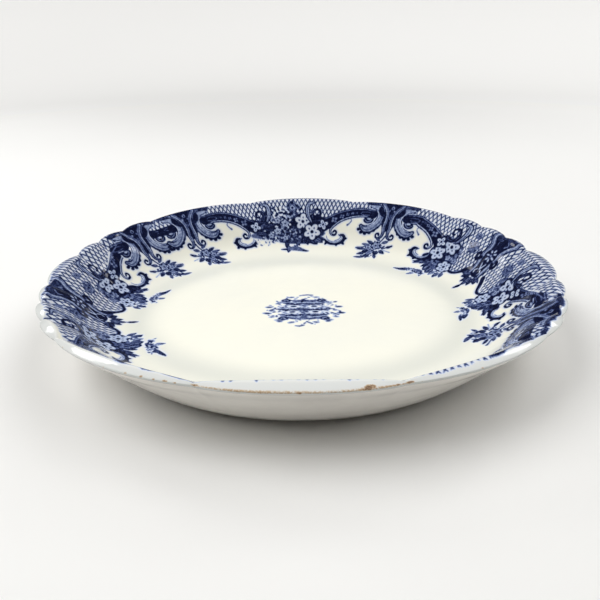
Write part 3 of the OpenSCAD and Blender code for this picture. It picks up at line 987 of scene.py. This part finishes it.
def wear_sheet(border):
    """Rubbed and chipped places along the lip's edge, the most of them on the near side."""
    sheet = Sheet(border.along, border.down, border.width)
    m = Motif(sheet, 520, laid=False)
    m.line([(-54, -4.6), (-38, -4.9), (-16, -5.2), (6, -5.2), (30, -5.1), (52, -4.6)],
           [0.6, 0.55, 0.35, 0.5, 0.5, 0.35], 0.7, 0.6)
    for x, y, half_x, half_y in [(-53, -4.2, 2.2, 1.3), (-47, -4.6, 1.0, 0.6), (-33, -4.2, 2.8, 1.3),
                                 (-30, -4.8, 1.4, 0.5), (51, -4.2, 2.0, 1.1), (61, -5.0, 0.8, 0.5),
                                 (66, -4.8, 1.2, 0.5), (72, -5.0, 0.6, 0.4), (79, -4.8, 0.8, 0.4),
                                 (88, -5.0, 0.6, 0.4), (0, -5.6, 0.8, 0.4), (18, -5.4, 0.7, 0.3)]:
        m.oval(x, y, half_x, half_y, DARK, RANDOM.uniform(-12, 12), 0.5)
    for place in RANDOM.uniform(0, PERIMETER, 26):
        m.oval(place, RANDOM.uniform(-5.6, -4.6), RANDOM.uniform(0.3, 1.0), 0.3, RANDOM.uniform(0.3, 0.8))
    return sheet


# ---------------------------------------------------------------- materials

BODY_IOR, COAT_IOR, COAT_ROUGHNESS = 1.5, 1.34, 0.05
GLAZE_ROUGHNESS, CLAY_ROUGHNESS, STAGE_ROUGHNESS = 0.3, 0.75, 0.9
RIPPLE_SCALE, RIPPLE_DEPTH, RIPPLE_STRENGTH = 60, 0.0012, 0.25  # the glaze's slow unevenness


class Material:
    """A new material: its Principled shader's inputs, and short ways to put nodes before them.
    Values are sockets or, where it says so, numbers and colours."""

    def __init__(self, name, roughness, coat=0.0):
        self.made = bpy.data.materials.new(name)
        self.made.use_nodes = True
        self.nodes, self.links = self.made.node_tree.nodes, self.made.node_tree.links
        self.inputs = self.nodes["Principled BSDF"].inputs
        self.set("Roughness", roughness)
        self.set("IOR", BODY_IOR)
        self.set("Coat Weight", coat)
        self.set("Coat Roughness", COAT_ROUGHNESS)
        self.set("Coat IOR", COAT_IOR)
        if coat:
            self.set("Specular IOR Level", 0.0)

    def set(self, socket, value):
        self.inputs[socket].default_value = value

    def join(self, value, socket):
        self.links.new(value, self.inputs[socket])

    def place(self):
        """Position on the object, in metres."""
        return self.nodes.new("ShaderNodeTexCoord").outputs["Object"]

    def attribute(self, name):
        node = self.nodes.new("ShaderNodeAttribute")
        node.attribute_name = name
        return node.outputs["Fac"]

    def noise(self, place, scale, detail=3.0, roughness=0.55):
        """A noise texture's factor, at a scale in cycles per metre."""
        texture = self.nodes.new("ShaderNodeTexNoise")
        texture.inputs["Scale"].default_value = scale
        texture.inputs["Detail"].default_value = detail
        texture.inputs["Roughness"].default_value = roughness
        self.links.new(place, texture.inputs["Vector"])
        return texture.outputs["Fac"]

    def maths(self, operation, a, b, c=None, clamp=False):
        """A math node on sockets or numbers."""
        node = self.nodes.new("ShaderNodeMath")
        node.operation, node.use_clamp = operation, clamp
        for socket, value in zip(node.inputs, (a, b, c)):
            if isinstance(value, (int, float)):
                socket.default_value = value
            elif value is not None:
                self.links.new(value, socket)
        return node.outputs[0]

    def between(self, value, low, high, to_low=0.0, to_high=1.0):
        """Value's way from low to high, clamped, as a number from to_low to to_high."""
        node = self.nodes.new("ShaderNodeMapRange")
        node.interpolation_type = "SMOOTHSTEP"
        for socket, number in zip(node.inputs[1:5], (low, high, to_low, to_high)):
            socket.default_value = number
        self.links.new(value, node.inputs[0])
        return node.outputs[0]

    def ramp(self, value, stops):
        """Colours along a value, as (place, colour) stops."""
        node = self.nodes.new("ShaderNodeValToRGB")
        line = node.color_ramp.elements
        while len(line) < len(stops):
            line.new(0.5)
        for element, (place, colour) in zip(line, stops):
            element.position, element.color = place, (*colour, 1)
        self.links.new(value, node.inputs["Fac"])
        return node.outputs["Color"]

    def blend(self, share, a, b):
        """A mix of two colours, sockets or triples."""
        node = self.nodes.new("ShaderNodeMix")
        node.data_type = "RGBA"
        self.links.new(share, node.inputs["Factor"])
        for socket, value in ((node.inputs[6], a), (node.inputs[7], b)):
            if isinstance(value, tuple):
                socket.default_value = (*value, 1)
            else:
                self.links.new(value, socket)
        return node.outputs[2]

    def bump(self, height, distance, strength, sockets=("Normal",)):
        node = self.nodes.new("ShaderNodeBump")
        node.inputs["Distance"].default_value = distance
        node.inputs["Strength"].default_value = strength
        self.links.new(height, node.inputs["Height"])
        for socket in sockets:
            self.join(node.outputs["Normal"], socket)

    def ripple(self, place):
        """Slow unevenness of a glaze and of what lies under it."""
        self.bump(self.noise(place, RIPPLE_SCALE, 2), RIPPLE_DEPTH, RIPPLE_STRENGTH,
                  ("Normal", "Coat Normal"))


GLAZE_CREAM = (0.93, 0.915, 0.80)
GLAZE_THIN = (0.905, 0.895, 0.795)
GLAZE_BLUE = (0.72, 0.74, 0.78)
# grey of the painted shade over the lip and at the foot of the inner wall
SHADE_GREY = (0.69, 0.70, 0.635)
BACK_GLAZE, BACK_SHADE = (0.90, 0.87, 0.81), (0.83, 0.795, 0.745)
CLAY_LIGHT, CLAY_DARK = (0.72, 0.64, 0.52), (0.62, 0.54, 0.43)
FOOT_LIGHT, FOOT_DARK = (0.66, 0.57, 0.45), (0.42, 0.34, 0.25)
INK_STOPS = [(0.0, (0.82, 0.84, 0.88)), (0.2, (0.46, 0.54, 0.73)), (0.45, (0.13, 0.172, 0.335)),
             (0.7, (0.036, 0.052, 0.145)), (0.85, (0.013, 0.020, 0.066)), (1.0, (0.004, 0.006, 0.028))]
STAIN_STOPS = [(0.1, (0.64, 0.54, 0.42)), (0.5, (0.46, 0.32, 0.19)), (0.85, (0.17, 0.09, 0.045))]


def face_material():
    """Clear glaze over a flowing blue print on cream earthenware."""
    m = Material("glazed_face", GLAZE_ROUGHNESS, coat=1.0)
    place = m.place()
    ink, flow = m.attribute("ink"), m.attribute("flow")
    mottle = m.noise(place, 380, 5, 0.65)
    stipple = m.noise(place, 1500, 2, 0.7)
    body = m.noise(place, 14, 3)
    # ink thins and gathers a little, most of all in the middle tones
    soft = m.maths("MULTIPLY", ink, m.maths("SUBTRACT", 1.5, ink))
    shift = m.maths("ADD", m.maths("SUBTRACT", mottle, 0.5),
                    m.maths("MULTIPLY", m.maths("SUBTRACT", stipple, 0.5), 0.7))
    uneven = m.maths("MULTIPLY_ADD", shift, m.maths("MULTIPLY", soft, 1.9), ink, clamp=True)
    printed = m.ramp(uneven, INK_STOPS)
    cream = m.blend(m.between(body, 0.35, 0.7), GLAZE_CREAM, GLAZE_THIN)
    # painted shade: the glaze is drawn greyer over the lip and at the foot of the inner wall
    pooled = m.blend(m.maths("MULTIPLY", m.attribute("pool"), 0.75), cream, SHADE_GREY)
    bare = m.blend(m.between(flow, 0.0, 0.22), pooled, GLAZE_BLUE)
    coloured = m.blend(m.between(uneven, 0.02, 0.14), bare, printed)
    patchy = m.between(m.noise(place, 900, 3), 0.3, 0.62, 0.35, 1.0)
    rubbed = m.maths("MULTIPLY", m.attribute("wear"), patchy)
    stained = m.ramp(rubbed, STAIN_STOPS)
    m.join(m.blend(m.between(rubbed, 0.05, 0.4, 0.0, 0.95), coloured, stained), "Base Color")
    m.join(m.maths("SUBTRACT", 1.0, rubbed, clamp=True), "Coat Weight")
    m.ripple(place)
    return m.made


def back_material():
    """Plain glaze on the back, a little darker in places."""
    m = Material("glazed_back", GLAZE_ROUGHNESS, coat=1.0)
    place = m.place()
    body = m.noise(place, 16, 4)
    m.join(m.blend(m.between(body, 0.35, 0.7), BACK_GLAZE, BACK_SHADE), "Base Color")
    m.ripple(place)
    return m.made


def clay_material(name, light, dark, scale):
    """Unglazed fired clay, speckled and a little dusty."""
    m = Material(name, CLAY_ROUGHNESS)
    place = m.place()
    grain = m.noise(place, scale, 5, 0.65)
    m.join(m.blend(m.between(grain, 0.3, 0.72), light, dark), "Base Color")
    m.bump(m.noise(place, 3 * scale, 3), 0.0004, 0.6)
    return m.made


def finish(piece, made, nodes):
    """A piece's material; the piece is attached to the root body, and the CAD nodes that it stands for are
    hidden.
    """
    piece.data.materials.append(made)
    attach(piece, "root")
    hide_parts(*nodes)


# ---------------------------------------------------------------- stage, light and camera

# In metres
FLOOR_RADIUS, TABLE_RADIUS, COVE_RADIUS, WALL_HEIGHT = 1.6, 0.8, 0.7, 2.2
STAGE_COLUMNS = 128
STAGE_COLOUR = (0.84, 0.835, 0.815, 1)
GLOW_COLOUR, WALL_GLOW, GLOW_REACH = (1, 0.99, 0.97, 1), 0.45, 0.6
ROOM_COLOUR = (0.055, 0.055, 0.055, 1)


def stage_piece(name, profile, centre=False):
    """A pale turned surface of the stage, from its profile of radius and height in metres. It glows
    more and more towards the wall, where the lamps' light gives out."""
    angle = 2 * math.pi * np.arange(STAGE_COLUMNS) / STAGE_COLUMNS
    rings = [np.array([[0.0, 0.0, 0.0]])] if centre else []
    rings += [METRE * np.column_stack([r * np.cos(angle), r * np.sin(angle), np.full(STAGE_COLUMNS, z)])
              for r, z in profile]
    piece = build(name, rings)
    m = Material(name, STAGE_ROUGHNESS)
    m.set("Base Color", STAGE_COLOUR)
    m.set("Specular IOR Level", 0.0)
    far = m.nodes.new("ShaderNodeVectorMath")
    far.operation = "LENGTH"
    m.links.new(m.place(), far.inputs[0])
    m.set("Emission Color", GLOW_COLOUR)
    m.join(m.between(far.outputs["Value"], TABLE_RADIUS, FLOOR_RADIUS + GLOW_REACH, 0, WALL_GLOW),
           "Emission Strength")
    piece.data.materials.append(m.made)
    return piece


def studio_stage():
    """A pale table top, and a floor round it that curves up into a wall. The wall throws no light
    back, so that the room in front of the platter stays dim."""
    stage_piece("studio_table", [(TABLE_RADIUS * s, 0.0) for s in (0.3, 0.6, 1.0)], centre=True)
    profile = [(TABLE_RADIUS, 0.0), (FLOOR_RADIUS, 0.0)]
    profile += [(FLOOR_RADIUS + COVE_RADIUS * math.sin(a), COVE_RADIUS * (1 - math.cos(a)))
                for a in np.radians(np.arange(10, 91, 10))]
    profile.append((FLOOR_RADIUS + COVE_RADIUS, WALL_HEIGHT))
    wall = stage_piece("studio_wall", profile)
    wall.visible_diffuse = wall.visible_glossy = False


# Place, size and power of each lamp, and whether it gleams in the glaze. All face the platter.
LAMPS = {"left_light": ((-1.2, -0.1, 1.5), 1.5, 27.5, False),
         "right_light": ((1.2, -0.1, 1.5), 1.5, 15, False),
         "rear_light": ((0.75, 1.0, 1.6), 1.4, 10, False),
         "left_spark": ((-0.95, 0.8, 0.95), 0.4, 3, True),
         "right_spark": ((0.95, 0.8, 0.9), 0.3, 1.5, True)}


def lamp(name, place, size, power, gleams):
    light = bpy.data.lights.new(name, "AREA")
    light.shape, light.size, light.energy = "DISK", size, power
    item = bpy.data.objects.new(name, light)
    item.location, item.visible_glossy = place, gleams
    item.rotation_euler = (-Vector(place)).to_track_quat("-Z", "Y").to_euler()
    bpy.context.scene.collection.objects.link(item)


def studio_light():
    """Soft lamps on both sides and behind, two small ones for the lip's gleam, and a dim room."""
    for name, values in LAMPS.items():
        lamp(name, *values)
    world = bpy.data.worlds.new("studio")
    world.use_nodes = True
    world.node_tree.nodes["Background"].inputs["Color"].default_value = ROOM_COLOUR
    bpy.context.scene.world = world
    bpy.context.scene.view_settings.view_transform = "Standard"


CAMERA_PLACE = (0.0045, -0.3362, 0.1944)
CAMERA_DIP, CAMERA_HEADING, CAMERA_ROLL = 28.27, 0.92, -1.0
LENS_LENGTH, SENSOR_WIDTH, CLIP_START = 30.0, 36.0, 0.01


def studio_camera():
    lens = bpy.data.cameras.new("camera")
    lens.lens, lens.sensor_width, lens.clip_start = LENS_LENGTH, SENSOR_WIDTH, CLIP_START
    camera = bpy.data.objects.new("camera", lens)
    bpy.context.scene.collection.objects.link(camera)
    camera.matrix_world = (Matrix.Translation(CAMERA_PLACE)
                           @ Matrix.Rotation(math.radians(CAMERA_HEADING), 4, "Z")
                           @ Matrix.Rotation(math.radians(90 - CAMERA_DIP), 4, "X")
                           @ Matrix.Rotation(math.radians(CAMERA_ROLL), 4, "Z"))
    bpy.context.scene.camera = camera


# ---------------------------------------------------------------- the platter

studio_camera()
studio_light()
studio_stage()
border = border_sheet()
finish(face_piece(border, medallion_sheet(), wear_sheet(border)), face_material(),
       ["face_glaze", "border_print", "centre_print"])
finish(back_piece(), back_material(), ["back_glaze", "base_glaze"])
finish(biscuit_piece(), clay_material("earthenware", CLAY_LIGHT, CLAY_DARK, 300),
       ["dish_body"])
finish(foot_piece(), clay_material("bare_foot", FOOT_LIGHT, FOOT_DARK, 220), ["foot_ring"])
